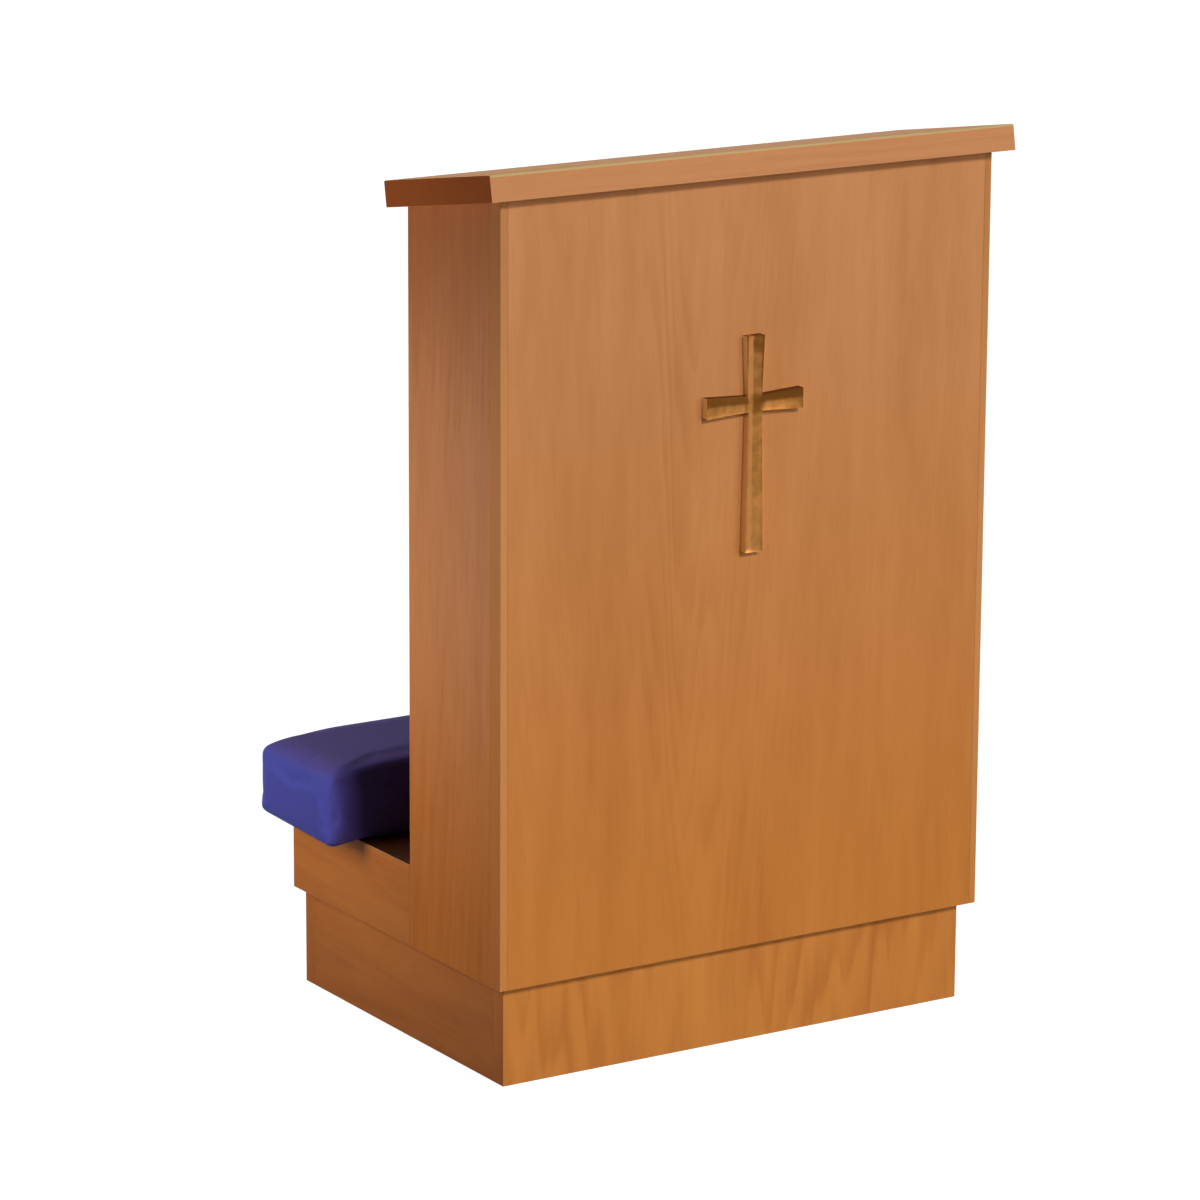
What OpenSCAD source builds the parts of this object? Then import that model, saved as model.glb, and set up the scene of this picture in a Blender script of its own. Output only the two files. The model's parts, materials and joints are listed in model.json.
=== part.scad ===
// Kneeling desk: a shallow wooden upright with a sloped desk board and a brass cross,
// and behind it a low kneeler box with a thick upholstered cushion.
// Millimetres. X runs across the width, the panel with the cross faces -Y, the kneeler
// lies towards +Y, Z is up. The origin is on the floor, under the middle of the whole.
// Left is the -X side, as seen by someone who faces the cross.
// Inside the modules, y is counted back from the outer face of the front panel.

/* [Case] */
// Width over the side boards, and of the front panel
body_w = 546; // [480:2:640]
// Depth of the upright, from the panel's outer face to the back edge of the sides
upright_d = 166; // [145:1:200]
// Depth of the whole case at the kneeler, from the panel's outer face
base_d = 394; // [380:2:440]
// Height of the front panel's top edge above the floor
front_h = 844; // [800:2:900]
// Height of the kneeler's side boards and deck
kneeler_h = 180; // [172:1:200]
// Thickness of the veneered boards
board_t = 18; // [16:1:20]
// Width of the solid wood strip on each side edge of the front panel
strip_w = 8; // [4:1:9]

/* [Desk board] */
// Thickness of the desk board
desk_t = 25; // [20:1:30]
// Slope of the desk board down towards the kneeler, degrees
desk_slope = 9.7; // [6:0.1:13]
// Overhang of the desk board past each side
desk_over_side = 17; // [8:1:25]
// Overhang of the desk board past the front panel, along its slope
desk_over_front = 14; // [8:1:25]
// Overhang of the desk board past the back edge of the sides, along its slope
desk_over_back = 10; // [4:1:20]
// Flat eased along the top edges of the desk board
desk_arris = 1.5; // [0.5:0.5:4]

/* [Plinth] */
// Height of the plinth, up to the underside of the case
plinth_h = 99; // [85:1:106]
// Set-back of the plinth from the case's sides
plinth_set_side = 12; // [8:1:16]
// Set-back of the plinth from the front panel's face
plinth_set_front = 14; // [8:1:16]
// Set-back of the plinth from the kneeler's end
plinth_set_end = 2; // [1:1:12]
// Side of a square corner block
block_w = 40; // [30:1:50]
// Width of the flat runner that ties each side to the plinth
runner_w = 60; // [50:1:80]

/* [Shelf and battens] */
// Distance of the book shelf's top below the panel's top edge
shelf_below_top = 204; // [180:2:280]
// Set-back of the shelf and its battens from the back edge of the sides
shelf_set = 14; // [8:1:30]
// Side of a square batten
batten_w = 20; // [18:1:24]

/* [Cushion] */
// Gap between the upright and the cushion
pad_gap = 91; // [75:1:105]
// Overhang of the cushion past each side of the kneeler
pad_over_side = 36; // [20:1:45]
// Overhang of the cushion past the kneeler's end
pad_over_end = 5; // [1:1:15]
// Height of the cushion at the middle of its crown
pad_h = 81.5; // [72:0.5:90]
// Rise of the crown above the cushion's top edges
pad_crown = 2.5; // [1:0.5:6]
// How far the cushion's top falls at each end
pad_end_fall = 10; // [2:1:11]
// Length over which the cushion's top falls, from each end
pad_fall_run = 90; // [60:5:120]
// Radius of the cushion's upright corners
pad_corner_r = 10; // [7:1:16]
// Radius along the cushion's top edges
pad_edge_r = 12; // [8:1:15]
// Radius along the cushion's bottom edges
pad_foot_r = 4; // [3:1:8]
// How far the long sides are drawn in at their middle
pad_draw_long = 3; // [1:0.5:4]
// How far the short sides are drawn in at their middle
pad_draw_short = 1.5; // [0.5:0.5:3]
// Swell of the cushion's sides at mid height
pad_swell = 1.5; // [0.5:0.5:3]
// Thickness of the plywood board in the cushion
pad_board_t = 12; // [9:1:15]
// Depth of wadding and cloth around the board and the foam
pad_wrap = 13; // [13:1:16]
// Depth of wadding and cloth over the foam, under the cushion's top edges
pad_top_wrap = 12; // [10:1:16]
// Thickness of the cloth hem turned under the board
hem_t = 2; // [1:0.5:3]
// Width of the hem under the board, from the cushion's outline
hem_w = 28; // [24:1:34]

/* [Cross] */
// Width of the cross over its two side arms
cross_w = 108; // [90:1:130]
// Length of the arm above the crossing's centre
cross_up = 64.5; // [50:0.5:80]
// Length of the arm below the crossing's centre
cross_down = 142.5; // [110:0.5:160]
// Distance of the crossing's centre below the panel's top edge
cross_below_top = 213; // [170:1:300]
// Width of each arm at the crossing
arm_w = 15; // [12:0.5:20]
// Width of each arm at its flared end
arm_end_w = 20; // [16:0.5:26]
// Thickness of the cross
cross_t = 8; // [6:0.5:10]
// Bevel along the front edges of the cross
cross_bevel = 1; // [0.5:0.25:2]
// Radius of the cross's two studs
stud_r = 2; // [1.5:0.25:2.5]
// Depth of a stud in the cross
stud_in_cross = 4; // [3:0.5:5]
// Depth of a stud in the front panel
stud_in_panel = 12; // [8:1:14]

/* [Dowels and screws] */
// Radius of a dowel
dowel_r = 3; // [2.5:0.5:4]
// Depth of a dowel in the face of a board
dowel_in_face = 12; // [8:1:13]
// Depth of a dowel in the edge of a board
dowel_in_edge = 18; // [12:1:22]
// Wood left between a front dowel and the inner face of the side
dowel_wall = 2; // [1:0.5:4]
// Number of dowels in each side edge of the upright
front_dowels_a_side = 5; // [3:1:8]
// Distance of the lowest and the highest front dowel from the panel's ends
front_dowel_margin = 30; // [24:1:50]
// Radius of a screw's shank
screw_r = 2; // [1.5:0.25:2.25]
// Radius of a screw's head
screw_head_r = 4; // [3.5:0.25:4.5]
// Height of a screw's countersunk head
screw_head_h = 2.5; // [2:0.25:3.5]
// Length of a screw's point
screw_point = 4; // [2:0.5:5]
// Depth that a screw bites into the board past a batten or block
screw_bite = 10; // [7:0.5:11]
// Depth that a screw bites into the cushion's board
pad_screw_bite = 7; // [5:0.5:8]
// Space around each dowel, stud and screw in its hole
hole_gap = 0.1; // [0.05:0.05:0.2]
// Space around the parts that lie inside the cushion
pocket_gap = 0.3; // [0.2:0.1:0.5]

/* [Hidden] */
$fn = 48;
// How far a cut runs past the face that it goes through
overrun = 1;

// Places across the width
half_w = body_w / 2;
inner_x = half_w - board_t;
side_mid_x = half_w - board_t / 2;
desk_half_w = half_w + desk_over_side;
panel_core_x = half_w - strip_w;
front_dowel_x = inner_x + dowel_wall + dowel_r;
front_batten_half = inner_x - batten_w;
plinth_x = half_w - plinth_set_side;
plinth_inner_x = plinth_x - board_t;
block_x = plinth_inner_x - block_w;
runner_inner_x = inner_x - runner_w;
pad_half_w = half_w + pad_over_side;

// Places along the depth
shelf_y = upright_d - shelf_set;
front_batten_y = board_t + batten_w;
front_batten_mid_y = board_t + batten_w / 2;
end_y = base_d - board_t;
plinth_y0 = plinth_set_front;
plinth_y1 = base_d - plinth_set_end;
plinth_in_y0 = plinth_y0 + board_t;
plinth_in_y1 = plinth_y1 - board_t;
plinth_batten_y0 = plinth_in_y0 + block_w;
plinth_batten_y1 = plinth_in_y1 - block_w;
pad_y0 = upright_d + pad_gap;
pad_y1 = base_d + pad_over_end;
pad_mid_y = (pad_y0 + pad_y1) / 2;
pad_half_d = (pad_y1 - pad_y0) / 2;

// Half sizes of the cushion's board and foam, and of the opening inside its hem
inner_half_w = pad_half_w - pad_wrap;
inner_half_d = pad_half_d - pad_wrap;
hem_half_w = pad_half_w - hem_w;
hem_half_d = pad_half_d - hem_w;

// Heights
case_h = kneeler_h - plinth_h;
deck_z = kneeler_h - board_t;
shelf_h = front_h - shelf_below_top;
shelf_z = shelf_h - board_t;
cross_z = front_h - cross_below_top;
front_dowel_run = front_h - plinth_h - 2 * front_dowel_margin;
// Heights above the cushion's foot: its top edges, the start of their rounding, its foam
pad_rim_z = pad_h - pad_crown;
pad_side_z = pad_rim_z - pad_edge_r;
foam_z0 = hem_t + pad_board_t;
foam_z1 = pad_rim_z - pad_top_wrap;
// Thickness of a desk batten at right angles to the slope
slant_w = batten_w * cos(desk_slope);

// The origin lies under the middle of the whole depth
desk_front_y = -desk_over_front * cos(desk_slope);
origin_y = (desk_front_y + pad_y1) / 2;

// Shares of the joint's height or length at which dowels sit
kneeler_dowel_shares = [0.3, 0.85];
end_dowel_shares = [0.25, 0.75];
runner_dowel_shares = [0.12, 0.32, 0.68, 0.92];
// Shares of a batten's length at which screws go sideways, and at which they go up
short_side_shares = [0.25, 0.65];
short_top_shares = [0.45, 0.85];
long_side_shares = [0.1, 0.5, 0.8];
long_top_shares = [0.2, 0.6, 0.9];
front_face_shares = [0.06, 0.46, 0.86];
front_top_shares = [0.14, 0.54, 0.94];
// Shares of a corner block's height for its screw into the side and into the end
block_side_share = 0.33;
block_end_share = 0.7;
// Shares of the hem opening's half width and half depth at which the cushion's screws sit
pad_screw_x_share = 0.64;
pad_screw_y_share = 0.63;
// Shares of the upper and the lower arm of the cross at which the studs sit
stud_up_share = 0.5;
stud_down_share = 0.6;

// Colours
c_board = [0.76, 0.51, 0.31];
c_strip = [0.82, 0.60, 0.38];
c_plain = [0.80, 0.65, 0.45];
c_cloth = [0.22, 0.23, 0.55];
c_foam = [0.90, 0.86, 0.70];
c_lining = [0.10, 0.10, 0.11];
c_brass = [0.72, 0.53, 0.25];
c_steel = [0.70, 0.71, 0.73];

// Height of the desk board's underside at a distance y behind the panel's face
function desk_under(y) = front_h - y * tan(desk_slope);

// Helpers

// Moves what is drawn from the panel's face into the part's own frame
module placed() translate([0, -origin_y, 0]) children();

module mirrored() mirror([1, 0, 0]) children();

module both_sides() {
    children();
    mirrored() children();
}

// A box from its lowest corner to its highest one
module box(low, high) translate(low) cube(high - low);

// A profile in y and z, drawn out along x
module along_x(x0, x1, profile)
    translate([x0, 0, 0]) rotate([90, 0, 90]) linear_extrude(x1 - x0) polygon(profile);

// A board that stands on z0 and is cut to the desk board's slope at its top
module sloped_board(x0, x1, y0, y1, z0)
    along_x(x0, x1, [[y0, z0], [y1, z0], [y1, desk_under(y1)], [y0, desk_under(y0)]]);

// A batten that hangs under the desk board
module sloped_batten(x0, x1, y0, y1)
    along_x(x0, x1, [
        [y0, desk_under(y0) - batten_w], [y1, desk_under(y1) - batten_w],
        [y1, desk_under(y1)], [y0, desk_under(y0)]
    ]);

// Turns what points up to the left, the right, the front or the back
module to_left() rotate([0, -90, 0]) children();
module to_right() rotate([0, 90, 0]) children();
module to_front() rotate([90, 0, 0]) children();
module to_back() rotate([-90, 0, 0]) children();

// Stands what points up at right angles to the desk board
module to_desk() rotate([-desk_slope, 0, 0]) children();

// A countersunk screw that points up, its head flush at z = 0
module screw(through, bite, gap = 0) {
    tip = through + bite;
    rotate_extrude()
        polygon([
            [0, -gap], [screw_head_r + gap, -gap], [screw_head_r + gap, 0],
            [screw_r + gap, screw_head_h], [screw_r + gap, tip - screw_point],
            [0, tip + gap]
        ]);
}

// A dowel that points up, z = 0 where the two boards meet
module dowel(below, above, gap = 0)
    translate([0, 0, -below - gap]) cylinder(r = dowel_r + gap, h = below + above + 2 * gap);

// Fastenings. Each is placed here once, for itself and for its holes.

module front_dowel(gap = 0)
    for (i = [0:front_dowels_a_side - 1])
        translate([
            -front_dowel_x, board_t,
            plinth_h + front_dowel_margin + front_dowel_run * i / (front_dowels_a_side - 1)
        ])
            to_back() dowel(dowel_in_face, dowel_in_edge, gap);

module kneeler_dowel(gap = 0)
    for (share = kneeler_dowel_shares)
        translate([-side_mid_x, upright_d, plinth_h + share * case_h])
            to_back() dowel(dowel_in_edge, dowel_in_edge, gap);

module end_dowel(gap = 0)
    for (share = end_dowel_shares)
        translate([-inner_x, end_y + board_t / 2, plinth_h + share * case_h])
            to_right() dowel(dowel_in_face, dowel_in_edge, gap);

module runner_dowel(gap = 0)
    for (share = runner_dowel_shares)
        translate([-inner_x, board_t + share * (end_y - board_t), plinth_h + board_t / 2])
            to_right() dowel(dowel_in_face, dowel_in_edge, gap);

// Screws through a level batten that lies against -face_x and under top_z, from y0 to y1
module side_screw(face_x, y0, y1, top_z, shares, gap = 0)
    for (share = shares)
        translate([batten_w - face_x, y0 + share * (y1 - y0), top_z - batten_w / 2])
            to_left() screw(batten_w, screw_bite, gap);

module top_screw(face_x, y0, y1, top_z, shares, gap = 0)
    for (share = shares)
        translate([batten_w / 2 - face_x, y0 + share * (y1 - y0), top_z - batten_w])
            screw(batten_w, screw_bite, gap);

module shelf_side_screw(gap = 0)
    side_screw(inner_x, board_t, shelf_y, shelf_z, short_side_shares, gap);
module shelf_top_screw(gap = 0)
    top_screw(inner_x, board_t, shelf_y, shelf_z, short_top_shares, gap);

module deck_side_screw(gap = 0)
    side_screw(inner_x, board_t, end_y, deck_z, long_side_shares, gap);
module deck_top_screw(gap = 0)
    top_screw(inner_x, board_t, end_y, deck_z, long_top_shares, gap);

module plinth_side_screw(gap = 0)
    side_screw(plinth_inner_x, plinth_batten_y0, plinth_batten_y1, plinth_h, long_side_shares, gap);
module plinth_top_screw(gap = 0)
    top_screw(plinth_inner_x, plinth_batten_y0, plinth_batten_y1, plinth_h, long_top_shares, gap);

// Screws through the left desk batten, level into the side and square into the desk board
module desk_side_screw(gap = 0)
    for (share = short_side_shares)
        let (y = board_t + share * (shelf_y - board_t))
            translate([batten_w - inner_x, y, desk_under(y) - batten_w / 2])
                to_left() screw(batten_w, screw_bite, gap);

module desk_top_screw(gap = 0)
    for (share = short_top_shares)
        let (y = board_t + share * (shelf_y - board_t))
            translate([batten_w / 2 - inner_x, y, desk_under(y)])
                to_desk() translate([0, 0, -slant_w]) screw(slant_w, screw_bite, gap);

// Screws through the front desk batten
module front_face_screw(gap = 0)
    for (share = front_face_shares)
        translate([
            (2 * share - 1) * front_batten_half, front_batten_y,
            desk_under(front_batten_mid_y) - batten_w / 2
        ])
            to_front() screw(batten_w, screw_bite, gap);

module front_top_screw(gap = 0)
    for (share = front_top_shares)
        translate([
            (2 * share - 1) * front_batten_half, front_batten_mid_y,
            desk_under(front_batten_mid_y)
        ])
            to_desk() translate([0, 0, -slant_w]) screw(slant_w, screw_bite, gap);

// Screws through a left corner block into the plinth's side and into its front or end.
// The block starts at y and reaches one block's width along the way of the sign.
module block_screw(y, way, gap = 0) {
    translate([-block_x, y + way * block_w / 2, block_side_share * plinth_h])
        to_left() screw(block_w, screw_bite, gap);
    translate([-block_x - block_w / 2, y + way * block_w, block_end_share * plinth_h])
        rotate([90 * way, 0, 0]) screw(block_w, screw_bite, gap);
}
module front_block_screw(gap = 0) block_screw(plinth_in_y0, 1, gap);
module end_block_screw(gap = 0) block_screw(plinth_in_y1, -1, gap);

// Screws up through the deck into the cushion's board
module pad_screw(gap = 0)
    for (x = [-1, 1], y = [-1, 1])
        translate([
            x * pad_screw_x_share * hem_half_w, pad_mid_y + y * pad_screw_y_share * hem_half_d,
            deck_z
        ])
            screw(board_t + hem_t, pad_screw_bite, gap);

// Studs that hold the cross on the front panel
module stud(gap = 0)
    for (z = [stud_up_share * cross_up, -stud_down_share * cross_down])
        translate([0, -stud_in_cross - gap, cross_z + z])
            to_back() cylinder(r = stud_r + gap, h = stud_in_cross + stud_in_panel + 2 * gap);

// Upright

module desk_top() {
    y0 = -desk_over_front;
    y1 = upright_d / cos(desk_slope) + desk_over_back;
    side_z = desk_t - desk_arris;
    color(c_strip) placed() difference() {
        translate([0, 0, front_h]) to_desk() intersection() {
            along_x(-desk_half_w, desk_half_w, [
                [y0, 0], [y1, 0], [y1, side_z], [y1 - desk_arris, desk_t],
                [y0 + desk_arris, desk_t], [y0, side_z]
            ]);
            translate([0, y1, 0]) to_front() linear_extrude(y1 - y0) polygon([
                [-desk_half_w, 0], [desk_half_w, 0], [desk_half_w, side_z],
                [desk_half_w - desk_arris, desk_t], [desk_arris - desk_half_w, desk_t],
                [-desk_half_w, side_z]
            ]);
        }
        both_sides() desk_top_screw(hole_gap);
        front_top_screw(hole_gap);
    }
}

module front_panel()
    color(c_board) placed() difference() {
        sloped_board(-panel_core_x, panel_core_x, 0, board_t, plinth_h);
        both_sides() front_dowel(hole_gap);
        front_face_screw(hole_gap);
        stud(hole_gap);
    }

module front_strip_left()
    color(c_strip) placed() difference() {
        sloped_board(-half_w, -panel_core_x, 0, board_t, plinth_h);
        front_dowel(hole_gap);
    }

module front_strip_right() mirrored() front_strip_left();

module upright_side_left()
    color(c_board) placed() difference() {
        sloped_board(-half_w, -inner_x, board_t, upright_d, plinth_h);
        front_dowel(hole_gap);
        kneeler_dowel(hole_gap);
        runner_dowel(hole_gap);
        desk_side_screw(hole_gap);
        shelf_side_screw(hole_gap);
        deck_side_screw(hole_gap);
    }

module upright_side_right() mirrored() upright_side_left();

module book_shelf()
    color(c_board) placed() difference() {
        box([-inner_x, board_t, shelf_z], [inner_x, shelf_y, shelf_h]);
        both_sides() shelf_top_screw(hole_gap);
    }

module shelf_batten_left()
    color(c_plain) placed() difference() {
        box([-inner_x, board_t, shelf_z - batten_w], [batten_w - inner_x, shelf_y, shelf_z]);
        shelf_side_screw(hole_gap);
        shelf_top_screw(hole_gap);
    }

module shelf_batten_right() mirrored() shelf_batten_left();

module desk_batten_left()
    color(c_plain) placed() difference() {
        sloped_batten(-inner_x, batten_w - inner_x, board_t, shelf_y);
        desk_side_screw(hole_gap);
        desk_top_screw(hole_gap);
    }

module desk_batten_right() mirrored() desk_batten_left();

module desk_batten_front()
    color(c_plain) placed() difference() {
        sloped_batten(-front_batten_half, front_batten_half, board_t, front_batten_y);
        front_face_screw(hole_gap);
        front_top_screw(hole_gap);
    }

// Kneeler

module kneeler_side_left()
    color(c_board) placed() difference() {
        box([-half_w, upright_d, plinth_h], [-inner_x, base_d, kneeler_h]);
        kneeler_dowel(hole_gap);
        end_dowel(hole_gap);
        runner_dowel(hole_gap);
        deck_side_screw(hole_gap);
    }

module kneeler_side_right() mirrored() kneeler_side_left();

module kneeler_end()
    color(c_board) placed() difference() {
        box([-inner_x, end_y, plinth_h], [inner_x, base_d, kneeler_h]);
        both_sides() end_dowel(hole_gap);
    }

module kneeler_deck()
    color(c_board) placed() difference() {
        box([-inner_x, board_t, deck_z], [inner_x, end_y, kneeler_h]);
        both_sides() deck_top_screw(hole_gap);
        pad_screw(hole_gap);
    }

module deck_batten_left()
    color(c_plain) placed() difference() {
        box([-inner_x, board_t, deck_z - batten_w], [batten_w - inner_x, end_y, deck_z]);
        deck_side_screw(hole_gap);
        deck_top_screw(hole_gap);
    }

module deck_batten_right() mirrored() deck_batten_left();

module base_runner_left()
    color(c_plain) placed() difference() {
        box([-inner_x, board_t, plinth_h], [-runner_inner_x, end_y, plinth_h + board_t]);
        runner_dowel(hole_gap);
        plinth_top_screw(hole_gap);
    }

module base_runner_right() mirrored() base_runner_left();

// Plinth

module plinth_front()
    color(c_board) placed() difference() {
        box([-plinth_x, plinth_y0, 0], [plinth_x, plinth_in_y0, plinth_h]);
        both_sides() front_block_screw(hole_gap);
    }

module plinth_side_left()
    color(c_board) placed() difference() {
        box([-plinth_x, plinth_in_y0, 0], [-plinth_inner_x, plinth_in_y1, plinth_h]);
        plinth_side_screw(hole_gap);
        front_block_screw(hole_gap);
        end_block_screw(hole_gap);
    }

module plinth_side_right() mirrored() plinth_side_left();

module plinth_end()
    color(c_board) placed() difference() {
        box([-plinth_x, plinth_in_y1, 0], [plinth_x, plinth_y1, plinth_h]);
        both_sides() end_block_screw(hole_gap);
    }

module plinth_batten_left()
    color(c_plain) placed() difference() {
        box(
            [-plinth_inner_x, plinth_batten_y0, plinth_h - batten_w],
            [batten_w - plinth_inner_x, plinth_batten_y1, plinth_h]
        );
        plinth_side_screw(hole_gap);
        plinth_top_screw(hole_gap);
    }

module plinth_batten_right() mirrored() plinth_batten_left();

module corner_block_front_left()
    color(c_plain) placed() difference() {
        box([-plinth_inner_x, plinth_in_y0, 0], [-block_x, plinth_batten_y0, plinth_h]);
        front_block_screw(hole_gap);
    }

module corner_block_front_right() mirrored() corner_block_front_left();

module corner_block_end_left()
    color(c_plain) placed() difference() {
        box([-plinth_inner_x, plinth_batten_y1, 0], [-block_x, plinth_in_y1, plinth_h]);
        end_block_screw(hole_gap);
    }

module corner_block_end_right() mirrored() corner_block_end_left();

// Cushion

// Steps of the cushion's mesh, round its outline and up its side
corner_steps = 4;
long_steps = 16;
short_steps = 4;
foot_steps = 2;
side_steps = 4;
edge_steps = 4;
crown_steps = 4;
// Share of the cushion's half depth by which the crown's last ring is set in
crown_share = 0.8;

function corner(cx, cy, r, start) = [
    for (i = [0:corner_steps])
        let (t = start + 90 * i / corner_steps)
            [cx + r * cos(t), cy + r * sin(t)]
];

function between(p, q, steps) = [for (i = [1:steps - 1]) p + (q - p) * i / steps];

// An outline a wide and b deep to each side of its middle, its corners rounded by r
function outline(a, b, r) = concat(
    corner(a - r, b - r, r, 0),
    between([a - r, b], [r - a, b], long_steps),
    corner(r - a, b - r, r, 90),
    between([-a, b - r], [-a, r - b], short_steps),
    corner(r - a, r - b, r, 180),
    between([r - a, -b], [a - r, -b], long_steps),
    corner(a - r, r - b, r, 270),
    between([a, r - b], [a, b - r], short_steps)
);

// How far a side is drawn in at t from its middle, where it is straight from -h to h
function draw(t, h, most) = abs(t) < h ? most * (1 - pow(t / h, 2)) : 0;

// How far the cushion's top falls at x, most at its ends
function end_fall(x) =
    let (u = pad_half_w - abs(x))
    u < pad_fall_run ? pad_end_fall * pow(1 - u / pad_fall_run, 2) : 0;

// One ring of the cushion, set in from its outline, at height z but for the fall at its ends
function pad_ring(inset, z) =
    let (
        a = pad_half_w - inset,
        b = pad_half_d - inset,
        fade = b / pad_half_d,
        r = pad_corner_r * fade
    )
    [
        for (p = outline(a, b, r)) [
            p.x - sign(p.x) * fade * draw(p.y, b - r, pad_draw_short),
            p.y - sign(p.y) * fade * draw(p.x, a - r, pad_draw_long),
            z * (1 - end_fall(p.x) / pad_h)
        ]
    ];

// Runs of the cushion's profile, up its straight side and in over its crown
pad_side_run = pad_side_z - pad_foot_r;
crown_start = pad_swell + pad_edge_r;
crown_run = crown_share * pad_half_d - crown_start;

// Each ring's inset and height, from the foot up to the crown
pad_profile = concat(
    [
        for (i = [0:foot_steps - 1])
            let (t = 90 * i / foot_steps)
                [pad_swell + pad_foot_r * (1 - sin(t)), pad_foot_r * (1 - cos(t))]
    ],
    [
        for (i = [0:side_steps])
            [pad_swell * pow(2 * i / side_steps - 1, 2), pad_foot_r + pad_side_run * i / side_steps]
    ],
    [
        for (i = [1:edge_steps])
            let (t = 90 * i / edge_steps)
                [pad_swell + pad_edge_r * (1 - cos(t)), pad_side_z + pad_edge_r * sin(t)]
    ],
    [
        for (i = [1:crown_steps])
            let (t = 90 * i / (crown_steps + 1))
                [crown_start + crown_run * i / crown_steps, pad_rim_z + pad_crown * sin(t)]
    ]
);

// The cushion's outer form, its foot on z = 0
module pad_form() {
    rings = [for (p = pad_profile) pad_ring(p[0], p[1])];
    count = len(rings[0]);
    last = len(rings) - 1;
    foot = (last + 1) * count;
    top = foot + 1;
    polyhedron(
        points = concat([for (ring = rings) each ring], [[0, 0, 0], [0, 0, pad_h]]),
        faces = concat(
            [
                for (k = [0:last - 1], i = [0:count - 1])
                    let (j = (i + 1) % count, low = k * count, high = low + count)
                        each [[low + i, high + i, high + j], [low + i, high + j, low + j]]
            ],
            [for (i = [0:count - 1]) [foot, i, (i + 1) % count]],
            [for (i = [0:count - 1]) [top, last * count + (i + 1) % count, last * count + i]]
        )
    );
}

// A block in the middle of the cushion, between two heights above the cushion's foot
module pad_block(half_x, half_y, z0, z1)
    translate([0, pad_mid_y, kneeler_h]) box([-half_x, -half_y, z0], [half_x, half_y, z1]);

module pad_cover()
    color(c_cloth) placed() difference() {
        translate([0, pad_mid_y, kneeler_h]) pad_form();
        pad_block(inner_half_w + pocket_gap, inner_half_d + pocket_gap, hem_t, foam_z1 + pocket_gap);
        pad_block(hem_half_w, hem_half_d, -overrun, hem_t + overrun);
    }

module pad_foam()
    color(c_foam) placed() pad_block(inner_half_w, inner_half_d, foam_z0, foam_z1);

module pad_board()
    color(c_plain) placed() difference() {
        pad_block(inner_half_w, inner_half_d, hem_t, foam_z0);
        pad_screw(hole_gap);
    }

module pad_lining()
    color(c_lining) placed() difference() {
        pad_block(hem_half_w - pocket_gap, hem_half_d - pocket_gap, 0, hem_t);
        pad_screw(hole_gap);
    }

// Cross

// One arm that points up from the crossing's centre, its back on the panel's face
module cross_arm(reach) {
    half = arm_w / 2;
    half_end = arm_end_w / 2;
    hull() {
        to_front() linear_extrude(cross_t - cross_bevel)
            polygon([[-half, 0], [half, 0], [half_end, reach], [-half_end, reach]]);
        to_front() linear_extrude(cross_t)
            polygon([
                [cross_bevel - half, 0], [half - cross_bevel, 0],
                [half_end - cross_bevel, reach - cross_bevel],
                [cross_bevel - half_end, reach - cross_bevel]
            ]);
    }
}

module cross()
    color(c_brass) placed() difference() {
        translate([0, 0, cross_z]) {
            cross_arm(cross_up);
            rotate([0, 90, 0]) cross_arm(cross_w / 2);
            rotate([0, 180, 0]) cross_arm(cross_down);
            rotate([0, 270, 0]) cross_arm(cross_w / 2);
        }
        stud(hole_gap);
    }

module cross_studs() color(c_brass) placed() stud();

// Dowels and screws

module front_dowels() color(c_plain) placed() both_sides() front_dowel();
module kneeler_dowels() color(c_plain) placed() both_sides() kneeler_dowel();
module end_dowels() color(c_plain) placed() both_sides() end_dowel();
module runner_dowels() color(c_plain) placed() both_sides() runner_dowel();

module desk_screws()
    color(c_steel) placed() {
        both_sides() desk_side_screw();
        both_sides() desk_top_screw();
        front_face_screw();
        front_top_screw();
    }

module shelf_screws()
    color(c_steel) placed() both_sides() {
        shelf_side_screw();
        shelf_top_screw();
    }

module deck_screws()
    color(c_steel) placed() both_sides() {
        deck_side_screw();
        deck_top_screw();
    }

module plinth_screws()
    color(c_steel) placed() both_sides() {
        plinth_side_screw();
        plinth_top_screw();
    }

module block_screws()
    color(c_steel) placed() both_sides() {
        front_block_screw();
        end_block_screw();
    }

module pad_screws() color(c_steel) placed() pad_screw();

desk_top();
front_panel();
front_strip_left();
front_strip_right();
upright_side_left();
upright_side_right();
book_shelf();
shelf_batten_left();
shelf_batten_right();
desk_batten_left();
desk_batten_right();
desk_batten_front();
kneeler_side_left();
kneeler_side_right();
kneeler_end();
kneeler_deck();
deck_batten_left();
deck_batten_right();
base_runner_left();
base_runner_right();
plinth_front();
plinth_side_left();
plinth_side_right();
plinth_end();
plinth_batten_left();
plinth_batten_right();
corner_block_front_left();
corner_block_front_right();
corner_block_end_left();
corner_block_end_right();
pad_cover();
pad_foam();
pad_board();
pad_lining();
cross();
cross_studs();
front_dowels();
kneeler_dowels();
end_dowels();
runner_dowels();
desk_screws();
shelf_screws();
deck_screws();
plinth_screws();
block_screws();
pad_screws();
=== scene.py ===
# %% [markdown]
# A kneeling desk in wood, brass and cloth.
# The measured model of every board, dowel and screw is loaded first, as a fixed frame. The pieces
# that show are then modelled over it, each one in the space that its measured solid takes up, and
# every surface gets a material that is worked out from formulas and noise, without a picture file.

# %% Load the measured frame
import json
from math import cos, pi, radians, sin

import bmesh
import bpy
from mathutils import Matrix, Vector


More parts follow.
